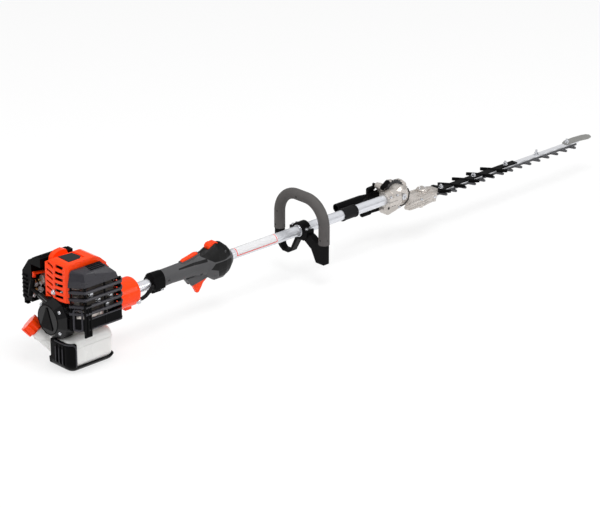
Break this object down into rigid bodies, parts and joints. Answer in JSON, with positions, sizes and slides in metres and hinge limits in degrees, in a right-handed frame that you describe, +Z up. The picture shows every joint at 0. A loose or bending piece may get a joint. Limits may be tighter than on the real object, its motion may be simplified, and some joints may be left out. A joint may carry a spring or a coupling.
{
  "type": "articulating engine hedge trimmer",
  "caption": "Long-reach engine hedge trimmer: tank and two-stroke engine, drive tube with trigger grip and loop handle, folding head with a single-sided reciprocating blade.",
  "frame": {"origin": "centre of the flat underside of the tank's skid", "axes": "+X forward along the drive tube to the blade tip, +Y to the operator's left, +Z up"},
  "size_m": [1.8434, 0.2025, 0.2669],
  "materials": {
    "orange_paint": "gloss",
    "black_plastic": "satin",
    "grey_plastic": "satin",
    "foam": "matte",
    "black_rubber": "matte",
    "tank_plastic": "satin",
    "cast_alloy": "satin",
    "tube_alloy": "satin",
    "bright_steel": "brushed",
    "dark_steel": "satin",
    "grey_plate": "satin",
    "exhaust_steel": "matte"
  },
  "bodies": {
    "engine": {"crankcase": "cast_alloy", "crank_bearings": "bright_steel", "cylinder_block": "cast_alloy", "spark_plug": "bright_steel", "clutch_collar": "orange_paint", "starter_case": "black_plastic", "muffler": "exhaust_steel", "muffler_shield": "black_plastic", "exhaust_guard": "black_plastic", "engine_cover": "orange_paint", "intake_block": "black_plastic", "carburetor": "cast_alloy", "air_cleaner_base": "black_plastic", "air_cleaner_cover": "black_plastic", "fuel_tank": "tank_plastic", "tank_skid": "black_plastic", "drive_tube": "tube_alloy", "shaft_bushes": "black_plastic", "storage_ring": "black_rubber", "grip_left": "grey_plastic", "grip_right": "grey_plastic", "grip_cap": "black_plastic", "throttle_conduit": "black_rubber", "conduit_clip": "bright_steel", "handle_base": "black_plastic", "handle_clamp": "black_plastic", "handle_core": "black_plastic", "handle_foam": "foam", "handle_bolts": "bright_steel", "fixed_head": "cast_alloy", "clamp_bolts": "bright_steel", "index_plate": "dark_steel", "pivot_bolt": "bright_steel"},
    "crank": {"crankshaft": "bright_steel", "flywheel": "cast_alloy", "clutch_shoes": "dark_steel"},
    "drive_line": {"clutch_drum": "bright_steel", "drive_shaft": "dark_steel"},
    "piston": {"piston": "cast_alloy"},
    "starter_reel": {"starter_reel": "black_plastic"},
    "starter_handle": {"starter_handle": "black_plastic"},
    "choke_lever": {"choke_lever": "orange_paint"},
    "primer_bulb": {"primer_bulb": "black_rubber"},
    "fuel_cap": {"fuel_cap": "orange_paint"},
    "throttle_trigger": {"throttle_trigger": "orange_paint"},
    "throttle_lockout": {"throttle_lockout": "orange_paint"},
    "stop_switch": {"stop_switch": "orange_paint"},
    "pivot_gear": {"pivot_gear": "dark_steel"},
    "head": {"gear_case": "cast_alloy", "gear_case_lid": "cast_alloy", "adjust_handle": "black_plastic", "guide_bar": "bright_steel", "bar_bolts": "bright_steel", "tooth_guard": "black_plastic", "tip_guard": "grey_plate"},
    "crank_gear": {"crank_gear": "dark_steel"},
    "lock_pawl": {"lock_pawl": "black_plastic"},
    "release_lever": {"release_lever": "black_plastic"},
    "upper_blade": {"upper_blade": "bright_steel"},
    "lower_blade": {"lower_blade": "bright_steel"}
  },
  "joints": [
    {"name": "crank_spin", "type": "hinge", "parent": "engine", "child": "crank", "pos_m": [0, 0, 0.124], "axis": [1, 0, 0], "continuous": true},
    {"name": "shaft_spin", "type": "hinge", "parent": "engine", "child": "drive_line", "pos_m": [0.2, 0, 0.124], "axis": [1, 0, 0], "continuous": true},
    {"name": "piston_stroke", "type": "slide", "parent": "engine", "child": "piston", "axis": [0, 0, 1], "range_m": [-0.028, 0]},
    {"name": "starter_pull", "type": "slide", "parent": "engine", "child": "starter_handle", "axis": [0, 0.9613, 0.2756], "range_m": [0, 0.05], "stiffness_N_per_m": 40, "springref_m": -0.1},
    {"name": "reel_turn", "type": "hinge", "parent": "engine", "child": "starter_reel", "pos_m": [-0.077, 0, 0.124], "axis": [-1, 0, 0], "range_deg": [0, 95]},
    {"name": "choke_turn", "type": "hinge", "parent": "engine", "child": "choke_lever", "pos_m": [-0.034, 0.066, 0.204], "axis": [0, 0, 1], "range_deg": [0, 45]},
    {"name": "primer_press", "type": "slide", "parent": "engine", "child": "primer_bulb", "axis": [0, 0, 1], "range_m": [0, 0.003], "stiffness_N_per_m": 600, "springref_m": -0.001},
    {"name": "cap_turn", "type": "hinge", "parent": "engine", "child": "fuel_cap", "pos_m": [-0.07758, 0.06474, 0.08128], "axis": [-0.4894, 0.5435, 0.682], "range_deg": [0, 270]},
    {"name": "trigger_squeeze", "type": "hinge", "parent": "engine", "child": "throttle_trigger", "pos_m": [0.376, 0, 0.1038], "axis": [0, 1, 0], "range_deg": [0, 20], "stiffness_Nm_per_rad": 0.3, "springref_deg": -17.19},
    {"name": "lockout_press", "type": "hinge", "parent": "engine", "child": "throttle_lockout", "pos_m": [0.345, 0, 0.1442], "axis": [0, -1, 0], "range_deg": [0, 6], "stiffness_Nm_per_rad": 0.3, "springref_deg": -17.19},
    {"name": "switch_slide", "type": "slide", "parent": "engine", "child": "stop_switch", "axis": [1, 0, 0], "range_m": [-0.003, 0.003]},
    {"name": "pivot_gear_spin", "type": "hinge", "parent": "engine", "child": "pivot_gear", "pos_m": [1.015, 0, 0.124], "axis": [0, 1, 0], "continuous": true},
    {"name": "head_fold", "type": "hinge", "parent": "engine", "child": "head", "pos_m": [1.015, 0, 0.124], "axis": [0, 1, 0], "range_deg": [-45, 90]},
    {"name": "crank_gear_spin", "type": "hinge", "parent": "head", "child": "crank_gear", "pos_m": [1.099, 0, 0.103], "axis": [0, 0, 1], "continuous": true},
    {"name": "lever_squeeze", "type": "hinge", "parent": "head", "child": "release_lever", "pos_m": [1.001, 0.03, 0.086], "axis": [0, 1, 0], "range_deg": [0, 12], "stiffness_Nm_per_rad": 0.6, "springref_deg": -17.19},
    {"name": "pawl_lift", "type": "hinge", "parent": "head", "child": "lock_pawl", "pos_m": [0.976, 0.03, 0.149], "axis": [0, -1, 0], "range_deg": [0, 12]},
    {"name": "upper_blade_stroke", "type": "slide", "parent": "head", "child": "upper_blade", "axis": [1, 0, 0], "range_m": [-0.00875, 0.00875]},
    {"name": "lower_blade_stroke", "type": "slide", "parent": "head", "child": "lower_blade", "axis": [1, 0, 0], "range_m": [-0.00875, 0.00875]}
  ],
  "couplings": [
    {"joint": "shaft_spin", "follows": "crank_spin", "ratio": 1},
    {"joint": "pivot_gear_spin", "follows": "crank_spin", "ratio": -0.8333},
    {"joint": "crank_gear_spin", "follows": "crank_spin", "ratio": 0.3},
    {"joint": "reel_turn", "follows": "starter_pull", "rad_per_m": 32.4},
    {"joint": "pawl_lift", "follows": "lever_squeeze", "ratio": 1},
    {"joint": "lower_blade_stroke", "follows": "upper_blade_stroke", "ratio": -1}
  ]
}
